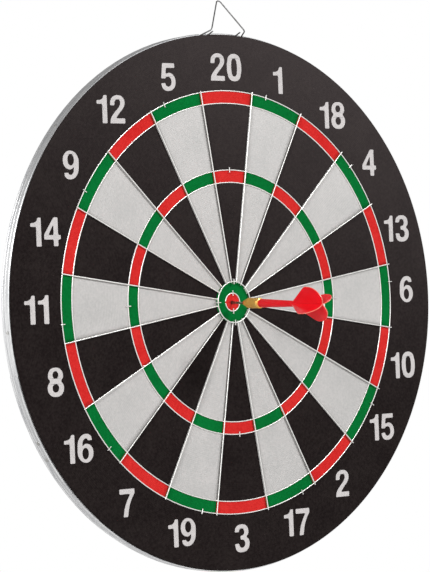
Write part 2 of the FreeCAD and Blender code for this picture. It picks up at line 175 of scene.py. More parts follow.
def recentre(builder, near, far, near_centre, far_centre):
    """Moves rings of points sideways, from one centre at a small radius to another at a large one."""
    for vertex in builder.verts:
        radius = math.hypot(vertex.co.x, vertex.co.z)
        share = min(1.0, max(0.0, (radius - near) / (far - near)))
        vertex.co += near_centre.lerp(far_centre, share)


# %% [markdown]
# Materials start from one shader each. A value that is the same all over goes straight on the shader's
# socket. Only what varies (fibre, wear, dents) is wired from textures on object coordinates.

# %% Helpers for materials
def linear(red, green, blue):
    """Scene-linear colour from the usual 0 to 255 screen values."""
    def one(value):
        value /= 255
        return value / 12.92 if value <= 0.04045 else ((value + 0.055) / 1.055) ** 2.4
    return (one(red), one(green), one(blue), 1)


class Finish:
    """One material with the small set of nodes that this board's finishes share."""

    def __init__(self, name, **sockets):
        self.material = bpy.data.materials.new(name)
        self.material.use_nodes = True
        self.tree = self.material.node_tree
        self.shader = self.tree.nodes["Principled BSDF"]
        self.place = self.add("ShaderNodeTexCoord").outputs["Object"]
        for socket, value in sockets.items():
            self.shader.inputs[socket.replace("_", " ")].default_value = value

    def add(self, kind, **values):
        node = self.tree.nodes.new(kind)
        for key, value in values.items():
            setattr(node, key, value)
        return node

    def link(self, source, target):
        self.tree.links.new(source, target)

    def noise(self, scale, detail=3, roughness=0.5, place=None):
        node = self.add("ShaderNodeTexNoise")
        node.inputs["Scale"].default_value = scale
        node.inputs["Detail"].default_value = detail
        node.inputs["Roughness"].default_value = roughness
        self.link(place or self.place, node.inputs["Vector"])
        return node.outputs["Fac"]

    def maths(self, operation, first, second=0.0, third=0.0):
        node = self.add("ShaderNodeMath", operation=operation)
        for socket, value in zip(node.inputs, (first, second, third)):
            if isinstance(value, (int, float)):
                socket.default_value = value
            else:
                self.link(value, socket)
        return node.outputs[0]

    def remap(self, value, low, high, to_low, to_high):
        node = self.add("ShaderNodeMapRange")
        self.link(value, node.inputs["Value"])
        for socket, number in zip(("From Min", "From Max", "To Min", "To Max"), (low, high, to_low, to_high)):
            node.inputs[socket].default_value = number
        return node.outputs["Result"]

    def mix(self, factor, first, second):
        node = self.add("ShaderNodeMix", data_type="RGBA")
        self.link(factor, node.inputs["Factor"])
        for socket, value in (("A", first), ("B", second)):
            target = next(i for i in node.inputs if i.name == socket and i.type == "RGBA")
            if isinstance(value, tuple):
                target.default_value = value
            else:
                self.link(value, target)
        return next(o for o in node.outputs if o.type == "RGBA")

    def vector(self, operation, value, other):
        node = self.add("ShaderNodeVectorMath", operation=operation)
        node.inputs[1].default_value = other
        self.link(value, node.inputs[0])
        return node.outputs[0]

    def radius(self, centre=(0, 0, 0), stretch=(1, 0, 1)):
        """Distance from an axis through a centre, along the board's own axis."""
        offset = self.vector("SUBTRACT", self.place, centre)
        length = self.add("ShaderNodeVectorMath", operation="LENGTH")
        self.link(self.vector("MULTIPLY", offset, stretch), length.inputs[0])
        return length.outputs["Value"]

    def height(self, direction):
        """How far a point is along a direction, in metres."""
        node = self.add("ShaderNodeVectorMath", operation="DOT_PRODUCT")
        node.inputs[1].default_value = direction
        self.link(self.place, node.inputs[0])
        return node.outputs["Value"]

    def round_the_rim(self, along, across):
        """Coordinates that follow the rim, with one scale along it and one across it."""
        split = self.add("ShaderNodeSeparateXYZ")
        self.link(self.place, split.inputs[0])
        angle = self.maths("ARCTAN2", split.outputs["X"], split.outputs["Z"])
        joined = self.add("ShaderNodeCombineXYZ")
        self.link(self.maths("MULTIPLY", angle, along), joined.inputs["X"])
        self.link(self.maths("MULTIPLY", split.outputs["Y"], across), joined.inputs["Y"])
        return joined.outputs[0]

    def paint(self, share, first, second):
        """Colours the surface between two shades."""
        self.link(self.mix(share, first, second), self.shader.inputs["Base Color"])

    def dull(self, value, low, high, shiny, rough):
        """Lets a texture vary the roughness."""
        self.link(self.remap(value, low, high, shiny, rough), self.shader.inputs["Roughness"])

    def bump(self, height, distance, strength=1.0, before=None):
        """Raises the surface by a texture, on top of an earlier bump if one is given."""
        node = self.add("ShaderNodeBump")
        node.inputs["Distance"].default_value = distance
        node.inputs["Strength"].default_value = strength
        self.link(height, node.inputs["Height"])
        if before:
            self.link(before, node.inputs["Normal"])
        self.link(node.outputs["Normal"], self.shader.inputs["Normal"])
        return node.outputs["Normal"]


# %% [markdown]
# The face is flocked: short fibres glued over the print. Up close it is a fine felt, with faint rings
# where the wound strip below shows through. A slight sheen gives the soft glow of fibre, and the rings
# are a sine of the distance from the centre, blurred by noise. The black and the white are painted paler
# towards the top, as painted light for the stronger light and sheen there, and the red bull has a dark
# mark beside the needle that is partly torn fibre and partly the dart's painted shadow.

# %% Flocked print
WINDING = 1.5 * MM
# Painted light: the flock is painted paler towards this direction, for the stronger light from above.
PAINTED_LIGHT_TOWARDS = (0.34, 0, 0.94)


def flock(name, colour, light, painted_top_light=None, grain=0.3, mark=None):
    """Felt between two shades, with painted light at the top or a torn mark with painted shadow, if asked."""
    finish = Finish(name, Roughness=0.95, Sheen_Weight=0.015, Sheen_Roughness=0.6, Specular_IOR_Level=0.03)
    cloud = finish.noise(38, detail=4)
    fibre = finish.noise(1500, detail=2, roughness=0.7)
    turn = finish.maths("MULTIPLY", finish.radius(), math.tau / WINDING)
    wander = finish.maths("MULTIPLY", finish.noise(60, detail=1), 5.0)
    ring = finish.maths("SINE", finish.maths("ADD", turn, wander))
    streak = finish.maths("MULTIPLY", ring, finish.remap(finish.noise(22, detail=1), 0.4, 0.65, 0.0, 0.16))
    tone = finish.maths("ADD", finish.remap(cloud, 0.3, 0.7, 0.1, 0.6), streak)
    tone = finish.maths("ADD", tone, finish.remap(fibre, 0.25, 0.75, 0.0, 0.3))
    tuft = finish.remap(finish.noise(520, detail=2), 0.3, 0.7, -grain, grain)
    shade = finish.mix(finish.maths("ADD", tone, tuft), colour, light)
    # Painted light: the felt is mixed towards a paler colour near the top, for the light and sheen there.
    if painted_top_light:
        above = finish.remap(finish.height(PAINTED_LIGHT_TOWARDS), -0.06, 0.21, 0.0, 1.0)
        shade = finish.mix(finish.maths("MULTIPLY", finish.maths("POWER", above, 1.6), 0.17), shade, painted_top_light)
    # A ragged dark red mark beside the needle: partly torn fibre, partly the dart's painted shadow.
    if mark:
        ragged = finish.maths("MULTIPLY_ADD", finish.noise(900, detail=2), 2.4 * MM, -1.2 * MM)
        reach = finish.maths("ADD", finish.radius(mark, stretch=(0.55, 0, 1)), ragged)
        shade = finish.mix(finish.remap(reach, 0.6 * MM, 2.0 * MM, 0.7, 0.0), shade, linear(112, 14, 14))
    finish.link(shade, finish.shader.inputs["Base Color"])
    first = finish.bump(ring, 0.03 * MM, 0.6)
    finish.bump(fibre, 0.10 * MM, 0.7, before=first)
    return finish.material


# Centre of the dark mark, just left of the needle, where torn fibre and the dart's painted shadow meet.
TORN_AND_SHADOW = DART_ENTRY + Vector((-0.9 * MM, 0, 0))
# The black and the white take painted light towards the top; the red takes the torn and shaded mark.
BLACK = flock("flock_black", linear(26, 20, 20), linear(40, 34, 33), painted_top_light=linear(124, 115, 115), grain=0.45)
WHITE = flock("flock_white", linear(186, 185, 183), linear(203, 200, 198), painted_top_light=linear(255, 254, 252))
RED = flock("flock_red", linear(200, 34, 33), linear(220, 52, 49), mark=TORN_AND_SHADOW)
GREEN = flock("flock_green", linear(0, 100, 42), linear(2, 117, 52))
INK = flock("number_white", linear(200, 196, 195), linear(214, 209, 208))

# %% [markdown]
# The black sheet is one closed shell: a section drawn from the needle's hole out to the rim, over the
# rounded edge, down the skirt that tucks under the band, and back. Spinning it round the axis makes the
# whole sheet, with the winding's faint ridges as real geometry. The dart isn't quite in the middle, so
# the innermost points are then moved until the hole is round the needle.

# %% The black flocked sheet
HOLE = 1.12 * MM
RIDGE = 0.045 * MM
CURL = 0.25 * MM
STEPS_PER_SECTOR = 12
CENTRED_BEYOND = 14 * MM
random.seed(17)
ridge_heights = [RIDGE * random.uniform(0.3, 1.0) for _ in range(2 * int(RIM / WINDING) + 4)]


def face_profile(start, end, lift=0.0):
    """Points along the face from one radius to another, following the winding's ridges."""
    step = WINDING / 2
    first = math.ceil(start / step + 0.2)
    last = math.floor(end / step - 0.2)
    radii = [start] + [index * step for index in range(first, last + 1)] + [end]
    points = []
    for radius in radii:
        index = int(round(radius / step))
        raised = ridge_heights[index] if index % 2 else 0.0
        points.append((radius, FACE - lift - raised))
    return points


def arc_points(centre, radius, start, end, count):
    """Points on an arc, as radius and depth."""
    return [
        (centre[0] + radius * math.cos(start + (end - start) * i / count),
         centre[1] + radius * math.sin(start + (end - start) * i / count))
        for i in range(count + 1)
    ]


outer_edge = arc_points((RIM - EDGE, FACE + EDGE), EDGE, -math.pi / 2, 0, 6)
inner_edge = arc_points((RIM - EDGE, FACE + EDGE), EDGE - SHEET, 0, -math.pi / 2, 4)
section = [(HOLE, FACE + SHEET), (HOLE, FACE - CURL)] + face_profile(HOLE + CURL, RIM - EDGE - 0.4 * MM)
section += outer_edge + [(RIM, SKIRT_END), (RIM - SHEET, SKIRT_END)] + inner_edge
sheet_mesh = lathe([(radius, depth, 0) for radius, depth in section], steps=SECTORS * STEPS_PER_SECTOR)
ENTRY = Vector((DART_ENTRY.x, 0, DART_ENTRY.z))
recentre(sheet_mesh, HOLE + CURL, CENTRED_BEYOND, ENTRY, Vector())
sheet = add_piece("flocked_sheet", sheet_mesh, BLACK)
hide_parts("front_facing")

# %% [markdown]
# The hanger's two hooks reach in behind the sheet's rim, so the sheet has a pocket for each. Two blocks
# are taken away from it with a Boolean, and the result becomes the piece's own mesh.

# %% Pockets for the hooks
POCKET_SIZE = Vector((10.3, 8, 6)) * MM
POCKET_MIDDLE = Vector((18.05, 4.4, 216.6)) * MM
pocket_mesh = bmesh.new()
for hand in (-1, 1):
    place = Matrix.Translation((hand * POCKET_MIDDLE.x, FACE + POCKET_MIDDLE.y, POCKET_MIDDLE.z))
    bmesh.ops.create_cube(pocket_mesh, size=1, matrix=place @ Matrix.Diagonal((*POCKET_SIZE, 1)))
pockets = to_object("pockets", pocket_mesh)
carve = sheet.modifiers.new("pockets", "BOOLEAN")
carve.operation = "DIFFERENCE"
carve.solver = "EXACT"
carve.object = pockets
bpy.context.view_layer.update()
carved = bpy.data.meshes.new_from_object(sheet.evaluated_get(bpy.context.evaluated_depsgraph_get()))
sheet.modifiers.clear()
sheet.data = carved
bpy.data.objects.remove(pockets)
print("sheet with pockets", len(carved.polygons), "faces")

# %% [markdown]
# The printed areas are thin raised patches, one piece for each colour, so that every border stays crisp.
# A patch is a short radial line spun through one sector, then given a thickness. White and green take
# the odd sectors and red takes the even ones, where the single areas stay black. The bull's two prints
# lie a little higher than the rest, because their centre is beside the board's.

# %% Printed areas
PRINT = 0.09 * MM
SUNK = 0.05 * MM
FULL_TURN = math.tau


def patch(builder, inner, outer, clock, angle, steps, lift=PRINT):
    """Spins a radial line from one clock angle through another, both in radians."""
    turn = Matrix.Rotation(clock - math.pi / 2, 4, "Y")
    points = [turn @ Vector((radius, depth, 0)) for radius, depth in face_profile(inner, outer, lift)]
    geometry = chain(builder, points)
    bmesh.ops.spin(builder, geom=geometry, cent=(0, 0, 0), axis=(0, 1, 0), angle=angle, steps=steps,
                   use_merge=angle == FULL_TURN, use_duplicate=False)


def finish_print(name, builder, material, extras=(), smooth=True):
    """Thickens one colour's patches; extras are more patches of it, already at their own centre."""
    for extra in extras:
        spare = bpy.data.meshes.new("spare")
        extra.to_mesh(spare)
        extra.free()
        builder.from_mesh(spare)
        bpy.data.meshes.remove(spare)
    tidy_normals(builder)
    for face in builder.faces:
        if face.normal.y > 0:
            face.normal_flip()
    bmesh.ops.solidify(builder, geom=builder.faces[:], thickness=PRINT + SUNK)
    bmesh.ops.recalc_face_normals(builder, faces=builder.faces)
    add_piece(name, builder, material, smooth=smooth)


UNDER_BULL = RINGS["outer_bull"] - BULL.length - 2 * WIRE
BULL_LIFT = PRINT + 0.07 * MM
bands = {
    "single": [(UNDER_BULL, RINGS["treble_inner"]), (RINGS["treble_outer"], RINGS["double_inner"])],
    "scoring": [(RINGS["treble_inner"], RINGS["treble_outer"]),
                (RINGS["double_inner"], RINGS["double_outer"])],
}
white_mesh, green_mesh, red_mesh = bmesh.new(), bmesh.new(), bmesh.new()
for sector in range(SECTORS):
    start = (sector - 0.5) * SECTOR
    odd = sector % 2 == 1
    for inner, outer in bands["single"] if odd else ():
        patch(white_mesh, inner, outer, start, SECTOR, STEPS_PER_SECTOR)
    for inner, outer in bands["scoring"]:
        patch(green_mesh if odd else red_mesh, inner, outer, start, SECTOR, STEPS_PER_SECTOR)

bull_green, bull_red = bmesh.new(), bmesh.new()
patch(bull_green, RINGS["inner_bull"], RINGS["outer_bull"], 0, FULL_TURN, 96, BULL_LIFT)
patch(bull_red, HOLE + CURL, RINGS["inner_bull"], 0, FULL_TURN, 64, BULL_LIFT)
recentre(bull_green, 0, 1, BULL, BULL)
recentre(bull_red, HOLE + CURL, RINGS["inner_bull"], ENTRY, BULL)
finish_print("print_white", white_mesh, WHITE)
finish_print("print_green", green_mesh, GREEN, [bull_green])
finish_print("print_red", red_mesh, RED, [bull_red])

# %% [markdown]
# The numbers are drawn as outlines in millimetres, each figure 22.6 high. A point with a third item is on
# a round stretch, and any other is a corner. FIGURES has each figure's width and its outlines, and a nine
# is a six turned half round.

# %% Number outlines
FIGURE = 22.6
GAP = 1.9


def oval(x, y, across, up):
    """Eight round points of an upright oval."""
    return [
        (x + across * math.sin(math.radians(turn)), y + up * math.cos(math.radians(turn)), "round")
        for turn in range(0, 360, 45)
    ]


def squared_oval(x, y, across, up):
    """An oval with straight sides, as a nought has."""
    side = up * 0.28
    top = [(x - across, y + side), (x - 0.72 * across, y + 0.80 * up, "round"), (x, y + up, "round"),
           (x + 0.72 * across, y + 0.80 * up, "round"), (x + across, y + side)]
    low = [(x + across, y - side), (x + 0.72 * across, y - 0.80 * up, "round"), (x, y - up, "round"),
           (x - 0.72 * across, y - 0.80 * up, "round"), (x - across, y - side)]
    return top + low


def half_turn(outlines, width):
    """The same outlines upside down."""
    return [[(width - point[0], FIGURE - point[1]) + tuple(point[2:]) for point in line] for line in outlines]


SIX = [
    [(14.7, 17.1), (13.6, 20.6, "round"), (8.2, 22.7, "round"), (2.2, 19.4, "round"), (0.1, 11.4, "round"),
     (1.4, 3.8, "round"), (7.8, -0.1, "round"), (13.4, 2.2, "round"), (15.5, 7.6, "round"),
     (13.6, 12.9, "round"), (9.2, 15.0, "round"), (6.6, 14.4, "round"), (5.1, 13.1),
     (5.9, 16.9, "round"), (8.1, 18.7, "round"), (9.6, 18.3, "round"), (10.3, 17.0)],
    oval(7.8, 7.2, 2.8, 4.2),
]
FIGURES = {
    "0": (15.5, [squared_oval(7.75, 11.3, 7.75, 11.4), squared_oval(7.75, 11.3, 2.8, 7.1)]),
    "1": (10.8, [[(10.6, 0), (10.6, 22.6), (7.2, 22.6), (6.2, 20.2, "round"), (4.0, 18.8, "round"),
                  (0.2, 18.4), (0.2, 15.1), (5.5, 15.1), (5.5, 0)]]),
    "2": (15.4, [[(0.3, 14.1), (1.3, 19.1, "round"), (4.4, 21.9, "round"), (8.2, 22.7, "round"),
                  (13.0, 21.2, "round"), (15.2, 16.7, "round"), (13.8, 12.6, "round"), (9.9, 8.4, "round"),
                  (6.4, 4.5), (15.2, 4.5), (15.2, 0), (0.1, 0), (1.0, 4.3, "round"), (4.8, 9.2, "round"),
                  (8.9, 13.2, "round"), (10.4, 16.4, "round"), (9.9, 18.2, "round"), (7.8, 18.9, "round"),
                  (5.7, 17.8, "round"), (5.0, 14.1)]]),
    "3": (16.2, [[(0.3, 16.2), (1.8, 20.6, "round"), (7.8, 22.8, "round"), (13.2, 21.2, "round"),
                  (15.2, 17.0, "round"), (14.6, 14.0, "round"), (12.8, 12.3), (15.2, 10.2, "round"),
                  (16.0, 6.5, "round"), (13.9, 1.8, "round"), (8.0, -0.2, "round"), (2.2, 1.5, "round"),
                  (0.1, 7.3), (5.0, 7.5), (5.9, 4.9, "round"), (8.1, 3.9, "round"), (10.3, 4.9, "round"),
                  (11.0, 7.1, "round"), (9.8, 9.4, "round"), (6.3, 10.2), (6.3, 13.5),
                  (9.2, 14.1, "round"), (10.3, 16.2, "round"), (9.7, 18.2, "round"), (7.8, 19.0, "round"),
                  (5.8, 18.2, "round"), (5.1, 16.2)]]),
    "4": (16.0, [[(8.9, 0), (13.6, 0), (13.6, 5.2), (16.0, 5.2), (16.0, 9.1), (13.6, 9.1), (13.6, 22.7),
                  (9.4, 22.7), (0.1, 9.5), (0.1, 5.2), (8.9, 5.2)],
                 [(4.7, 9.1), (8.9, 9.1), (8.9, 16.3)]]),
    "5": (15.3, [[(1.8, 22.5), (14.4, 22.5), (14.4, 18.3), (5.9, 18.3), (5.3, 13.9),
                  (8.6, 14.9, "round"), (13.2, 12.8, "round"), (15.2, 7.6, "round"), (13.2, 2.2, "round"),
                  (7.4, -0.2, "round"), (2.1, 1.6, "round"), (0.0, 6.2), (4.6, 6.7),
                  (5.6, 4.6, "round"), (7.5, 3.8, "round"), (9.8, 4.9, "round"), (10.6, 7.6, "round"),
                  (9.8, 10.1, "round"), (7.6, 11.2, "round"), (5.8, 10.8, "round"), (4.7, 9.7), (0.4, 9.7)]]),
    "6": (15.5, SIX),
    "7": (15.6, [[(0.3, 22.4), (15.5, 22.4), (15.5, 18.4), (12.4, 13.7, "round"), (10.0, 8.0, "round"),
                  (8.4, 0), (3.5, 0), (5.2, 7.6, "round"), (7.6, 13.0, "round"), (10.6, 17.9), (0.3, 17.9)]]),
    "8": (15.8, [[(13.0, 12.2), (14.8, 14.2, "round"), (15.1, 17.2, "round"), (12.9, 21.3, "round"),
                  (7.9, 22.8, "round"), (2.9, 21.3, "round"), (0.7, 17.2, "round"), (1.0, 14.2, "round"),
                  (2.8, 12.2), (0.8, 9.8, "round"), (0.0, 6.6, "round"), (2.2, 1.7, "round"),
                  (7.9, -0.2, "round"), (13.6, 1.7, "round"), (15.8, 6.6, "round"), (15.0, 9.8, "round")],
                 oval(7.9, 16.9, 2.5, 2.6), oval(7.9, 6.7, 2.8, 3.0)]),
    "9": (15.5, half_turn(SIX, 15.5)),
}
ORDER = (20, 1, 18, 4, 13, 6, 10, 15, 2, 17, 3, 19, 7, 16, 8, 11, 14, 9, 12, 5)
print("figures drawn", len(FIGURES))

# %% [markdown]
# Blender's 2D curve fills an outline and leaves its counters open. Such a fill has no points inside, so
# insetting it by a little over a quarter of a millimetre thins every stroke evenly and leaves its corners
# soft. It is then thickened as the other prints were. The screen was cut by hand, so the numbers don't
# sit quite evenly: PLACES has each one's distance from the centre, in millimetres, and how far it has
# slipped round, in degrees.

# %% Number shapes
CORNER_CUT = 1.1
THINNER = 0.28 * MM
PLACES = {
    20: (190, 0.4), 1: (189, -0.8), 18: (190.5, 0.8), 4: (190.5, -0.4), 13: (190.5, 0.6),
    6: (190.5, -1.5), 10: (192.5, 0), 15: (191.5, -0.7), 2: (189.5, 0.8), 17: (192, 0.4),
    3: (191, 0.2), 19: (191.5, 0.8), 7: (191.5, 0.8), 16: (192.5, 1.8), 8: (187, 0.6),
    11: (193.5, 0), 14: (192, 0), 9: (191.5, -0.7), 12: (193, -0.9), 5: (190, 0.2),
}


def softened(points):
    """Turns each corner into two points with the corner between them; round points stay single."""
    places = []
    for before, point, after in zip(points[-1:] + points[:-1], points, points[1:] + points[:1]):
        corner = Vector(point[:2])
        if len(point) == 3:
            places.append((corner, None, None))
            continue
        back, ahead = Vector(before[:2]) - corner, Vector(after[:2]) - corner
        start = corner + back.normalized() * min(CORNER_CUT, 0.4 * back.length)
        end = corner + ahead.normalized() * min(CORNER_CUT, 0.4 * ahead.length)
        places.append((start, None, start.lerp(corner, 0.6)))
        places.append((end, end.lerp(corner, 0.6), None))
    return places


def add_outline(curve, points, left, base):
    """Draws one closed outline on a curve, with its lower left corner at a place in millimetres."""
    places = softened(points)
    origin = Vector((left, base))
    spline = curve.splines.new("BEZIER")
    spline.bezier_points.add(len(places) - 1)
    spline.use_cyclic_u = True
    spline.resolution_u = 6
    for point, (place, handle_before, handle_after) in zip(spline.bezier_points, places):
        straight = "AUTO" if handle_before is handle_after is None else "VECTOR"
        point.co = ((origin + place) * MM).to_3d()
        point.handle_left_type = "FREE" if handle_before else straight
        point.handle_right_type = "FREE" if handle_after else straight
        if handle_before:
            point.handle_left = ((origin + handle_before) * MM).to_3d()
        if handle_after:
            point.handle_right = ((origin + handle_after) * MM).to_3d()


numbers = bpy.data.curves.new("numbers", "CURVE")
numbers.dimensions = "2D"
numbers.fill_mode = "FRONT"
for sector, number in enumerate(ORDER):
    distance, slip = PLACES[number]
    clock = sector * SECTOR + math.radians(slip)
    figures = [FIGURES[figure] for figure in str(number)]
    width = sum(figure[0] for figure in figures) + GAP * (len(figures) - 1)
    left = distance * math.sin(clock) - width / 2
    base = distance * math.cos(clock) - FIGURE / 2
    for figure_width, outlines in figures:
        for points in outlines:
            add_outline(numbers, points, left, base)
        left += figure_width + GAP
flat_numbers = bpy.data.objects.new("numbers_flat", numbers)
bpy.context.scene.collection.objects.link(flat_numbers)
bpy.context.view_layer.update()
filled = flat_numbers.evaluated_get(bpy.context.evaluated_depsgraph_get())
number_builder = bmesh.new()
number_builder.from_mesh(bpy.data.meshes.new_from_object(filled))
bpy.data.objects.remove(flat_numbers)
tidy_normals(number_builder)
border = bmesh.ops.inset_region(number_builder, faces=number_builder.faces[:], thickness=THINNER,
                                use_even_offset=True, use_boundary=True)
bmesh.ops.delete(number_builder, geom=border["faces"], context="FACES")
upright = Matrix.Translation((0, FACE - PRINT, 0)) @ Matrix.Rotation(math.pi / 2, 4, "X")
bmesh.ops.transform(number_builder, matrix=upright, verts=number_builder.verts)
finish_print("print_numbers", number_builder, INK, smooth=False)

# %% [markdown]
# The spider is bright plated wire. The big rings lie on the paper and the straight wires cross over them,
# then the outer bull ring crosses over the ends of those. The straight wires and the staples keep their
# shape and get a metal of their own. Drawn wire is shiny, but its plating is a little cloudy.

# %% Wire finishes
def wire_metal(name, bright, cloudy, roughness):
    """Drawn steel with cloudy plating."""
    finish = Finish(name, Metallic=1.0)
    cloud = finish.noise(420, detail=3)
    finish.paint(finish.remap(cloud, 0.35, 0.7, 0, 1), bright, cloudy)
    finish.dull(cloud, 0.3, 0.7, roughness, roughness + 0.2)
    finish.bump(finish.noise(1800, detail=2), 0.03 * MM, 0.5)
    return finish.material


SPIDER_METAL = wire_metal("plated_wire", linear(250, 249, 246), linear(226, 224, 220), 0.28)
STAPLE_METAL = wire_metal("staple_wire", linear(246, 245, 243), linear(214, 212, 208), 0.25)
HANGER_METAL = wire_metal("hanger_wire_steel", linear(150, 150, 150), linear(96, 95, 94), 0.3)
NEEDLE_METAL = wire_metal("needle_steel", linear(176, 174, 164), linear(112, 111, 102), 0.3)


def refinish(node_name, material):
    """Gives a CAD node a new material and leaves its shape alone."""
    mesh = frame["nodes"][node_name].data
    mesh.materials.clear()
    mesh.materials.append(material)


for node_name in frame["nodes"]:
    if node_name.startswith("radial_wire"):
        refinish(node_name, SPIDER_METAL)
    elif node_name.endswith("_staples"):
        refinish(node_name, STAPLE_METAL)
refinish("hanger_wire", HANGER_METAL)
refinish("dart_needle", NEEDLE_METAL)
print("wire finishes", len([name for name in frame["nodes"] if name.startswith("radial_wire")]), "spokes")

# %% [markdown]
# The rings are spun again from a round section, so that their highlights run smoothly. The inner bull's
# ends don't quite meet, and a spin that stops short of a full turn leaves its gap.

# %% Ring wires
RING_GAPS = {"inner_bull": 1.1 * MM}
WIRE_SIDES = 12
RING_STEP = 1.2 * MM


def ring_wire(name):
    """Spins a round section about the ring's own axis; a gap leaves the ring open at nine o'clock."""
    low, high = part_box(name + "_ring")
    builder = bmesh.new()
    section = Matrix.Translation((RINGS[name], (low.y + high.y) / 2, 0))
    made = bmesh.ops.create_circle(builder, cap_ends=False, segments=WIRE_SIDES, radius=WIRE, matrix=section)
    edges = list({edge for vertex in made["verts"] for edge in vertex.link_edges})
    opening = RING_GAPS.get(name, 0) / RINGS[name]
    begin = Matrix.Rotation(math.pi + opening / 2, 4, "Y")
    bmesh.ops.transform(builder, matrix=begin, verts=made["verts"])
    bmesh.ops.spin(builder, geom=made["verts"] + edges, cent=(0, 0, 0), axis=(0, 1, 0),
                   angle=math.tau - opening, steps=max(72, int(RINGS[name] / RING_STEP)),
                   use_merge=opening == 0, use_duplicate=False)
    bmesh.ops.holes_fill(builder, edges=builder.edges, sides=WIRE_SIDES)
    bmesh.ops.translate(builder, verts=builder.verts, vec=((low.x + high.x) / 2, 0, 0))
    tidy_normals(builder)
    piece = add_piece(name + "_bent_wire", builder, SPIDER_METAL)
    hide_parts(name + "_ring")


for ring_name in RINGS:
    ring_wire(ring_name)

# %% [markdown]
# Each crossing of a ring and a straight wire is spot-welded. A weld is a small flattened bead of a few
# dozen faces, between the two wires, placed where the straight wire meets the ring's circle. The outer
# bull ring is one wire higher than the others, and its centre is beside the board's.

# %% Spot welds
WELD = Matrix.Diagonal((1.4, 0.85, 1.25, 1))
weld_mesh = bmesh.new()
for spoke in range(SECTORS):
    clock = (spoke + 0.5) * SECTOR
    for name in ("double_outer", "double_inner", "treble_outer", "treble_inner", "outer_bull"):
        bull = name == "outer_bull"
        toward = BULL.x * math.sin(clock) if bull else 0.0
        aside = BULL.x ** 2 - toward ** 2 if bull else 0.0
        reach = toward + math.sqrt(RINGS[name] ** 2 - aside)
        depth = FACE - 2 * WIRE * (2 if bull else 1)
        place = Matrix.Rotation(clock - math.pi / 2, 4, "Y") @ Matrix.Translation((reach, depth, 0))
        bmesh.ops.create_uvsphere(weld_mesh, u_segments=8, v_segments=5, radius=WIRE, matrix=place @ WELD)
add_piece("spider_welds", weld_mesh, SPIDER_METAL)

# %% [markdown]
# The rim band is thin bright strip, rolled with a bead at each side and a low ridge between them. Rolling
# leaves fine lines along it, so its roughness and bump come from noise stretched round the rim, with the
# slight waves of a strip pulled tight and a few small creases. Tacks and rivets are plated heads.

# %% Rim band finish
def rolled_strip(name, light, dark):
    """Steel strip with fine lines along it, slow waves and a few creases."""
    finish = Finish(name, Metallic=1.0)
    lines = finish.noise(1, detail=3, roughness=0.6, place=finish.round_the_rim(9, 1600))
    waves = finish.noise(1, detail=2, place=finish.round_the_rim(16, 90))
    creases = finish.noise(1, detail=4, roughness=0.7, place=finish.round_the_rim(60, 420))
    finish.paint(finish.remap(lines, 0.42, 0.68, 0, 1), light, dark)
    finish.dull(lines, 0.3, 0.7, 0.27, 0.42)
    first = finish.bump(waves, 0.4 * MM, 0.3)
    second = finish.bump(finish.remap(creases, 0.62, 0.75, 0, 1), 0.1 * MM, 0.4, before=first)
    finish.bump(lines, 0.02 * MM, 0.5, before=second)
    return finish.material


def galvanised(name, light, dark):
    """Plated steel with a fine spangle."""
    finish = Finish(name, Metallic=1.0)
    spangle = finish.noise(240, detail=4, roughness=0.65)
    finish.paint(finish.remap(spangle, 0.3, 0.7, 0, 1), light, dark)
    finish.dull(spangle, 0.3, 0.7, 0.22, 0.42)
    finish.bump(spangle, 0.05 * MM, 0.4)
    return finish.material


BAND_METAL = rolled_strip("rolled_strip", linear(246, 246, 246), linear(186, 187, 190))
HEAD_METAL = galvanised("plated_heads", linear(232, 231, 228), linear(170, 168, 164))
refinish("rim_band", BAND_METAL)
refinish("rim_band_tacks", HEAD_METAL)
refinish("rim_band_rivets", HEAD_METAL)
print("band and heads finished")

# %% [markdown]
# The core is paper strip wound on edge, seen only in the pockets under the hanger's hooks. The back is a
# plain dark sheet with the same felt as the front.

# %% Paper finishes
STRIP = 0.5 * MM
wound = Finish("wound_paper", Roughness=0.9)
layers = wound.maths("SINE", wound.maths("MULTIPLY", wound.radius(), math.tau / STRIP))
wound_tone = wound.maths("ADD", wound.remap(layers, -1, 1, 0.0, 0.5), wound.noise(300))
wound.paint(wound_tone, linear(120, 98, 74), linear(186, 164, 134))
wound.bump(layers, 0.06 * MM)
refinish("wound_paper_core", wound.material)
refinish("rear_facing", flock("rear_flock", linear(36, 33, 32), linear(52, 48, 47)))
print("core and rear sheet finished")

# %% [markdown]
# The dart is modelled along its own axis, with the face at nought, then laid on the joint's axis.

# %% Dart frame
TO_DART = Matrix((
    (DART_AXIS.x, DART_SIDE.x, DART_ABOVE.x, DART_ENTRY.x),
    (DART_AXIS.y, DART_SIDE.y, DART_ABOVE.y, DART_ENTRY.y),
    (DART_AXIS.z, DART_SIDE.z, DART_ABOVE.z, DART_ENTRY.z),
    (0, 0, 0, 1),
))


def along(node_name):
    """Where a dart node starts and ends along the dart's axis, in metres from the face."""
    spots = [DART_AXIS.dot(vertex.co - DART_ENTRY) for vertex in frame["nodes"][node_name].data.vertices]
    return min(spots), max(spots)


BARREL_START, BARREL_END = along("dart_barrel")
FLIGHT_REAR = along("dart_stem_flight")[1]
print("barrel", round(BARREL_START, 4), round(BARREL_END, 4), "flight ends", round(FLIGHT_REAR, 4))

# %% [markdown]
# The barrel is turned brass with a diamond knurl. Its section is spun, and each point of the grip is then
# pushed in where two crossing sets of spiral grooves pass over it. Pressed metal scatters light between
# its points, so the brass is a little less than a full mirror.

# %% Knurled brass barrel
GRIP = 4.2 * MM
GRIP_ROWS = 44
NOSE_CONE = 6.2 * MM
COLLAR = 1.6 * MM
KNURL_DEPTH = 0.28 * MM
KNURL_STARTS = 18
KNURL_LEAD = 26 * MM
KNURL_WALL = 2.2


def knurl(angle, distance):
    """Groove depth, 0 on the flats and 1 at the bottom, where two spirals cross."""
    first = abs(math.sin((angle + math.tau * distance / KNURL_LEAD) * KNURL_STARTS / 2))
    second = abs(math.sin((angle - math.tau * distance / KNURL_LEAD) * KNURL_STARTS / 2))
    return 1 - min(1.0, KNURL_WALL * min(first, second))


